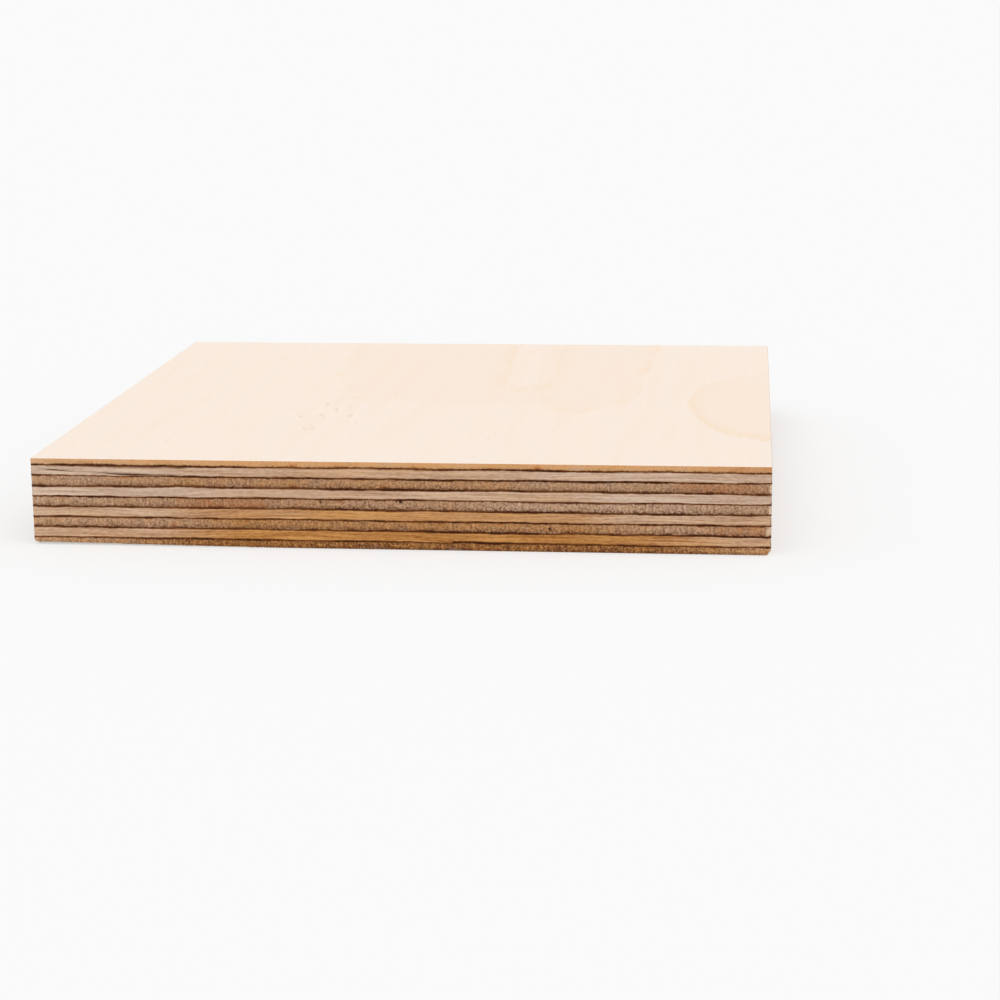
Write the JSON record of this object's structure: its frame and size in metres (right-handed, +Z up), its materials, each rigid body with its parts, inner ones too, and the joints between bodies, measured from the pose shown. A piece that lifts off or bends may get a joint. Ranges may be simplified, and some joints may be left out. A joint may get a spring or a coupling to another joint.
{
  "type": "plywood sheet",
  "caption": "Small square sheet of birch plywood, lying flat: crossed veneers bonded with dark resin, pale sanded faces and sawn edges that show every layer.",
  "frame": {"origin": "middle of the underside, on the surface that the sheet lies on", "axes": "+Z up through the thickness, out of the face; +Y along the face grain, to the rear; +X to the right along the front edge"},
  "size_m": [0.1, 0.1, 0.012],
  "materials": {
    "face_birch": "matte",
    "cross_grain_birch": "matte",
    "long_grain_birch": "matte",
    "back_birch": "matte",
    "resin_glue": "matte"
  },
  "bodies": {
    "root": {"face_veneer": "face_birch", "cross_veneer_2": "cross_grain_birch", "long_veneer_3": "long_grain_birch", "cross_veneer_4": "cross_grain_birch", "long_veneer_5": "long_grain_birch", "cross_veneer_6": "cross_grain_birch", "long_veneer_7": "long_grain_birch", "cross_veneer_8": "cross_grain_birch", "back_veneer": "back_birch", "glue_line_1": "resin_glue", "glue_line_2": "resin_glue", "glue_line_3": "resin_glue", "glue_line_4": "resin_glue", "glue_line_5": "resin_glue", "glue_line_6": "resin_glue", "glue_line_7": "resin_glue", "glue_line_8": "resin_glue"}
  },
  "joints": []
}
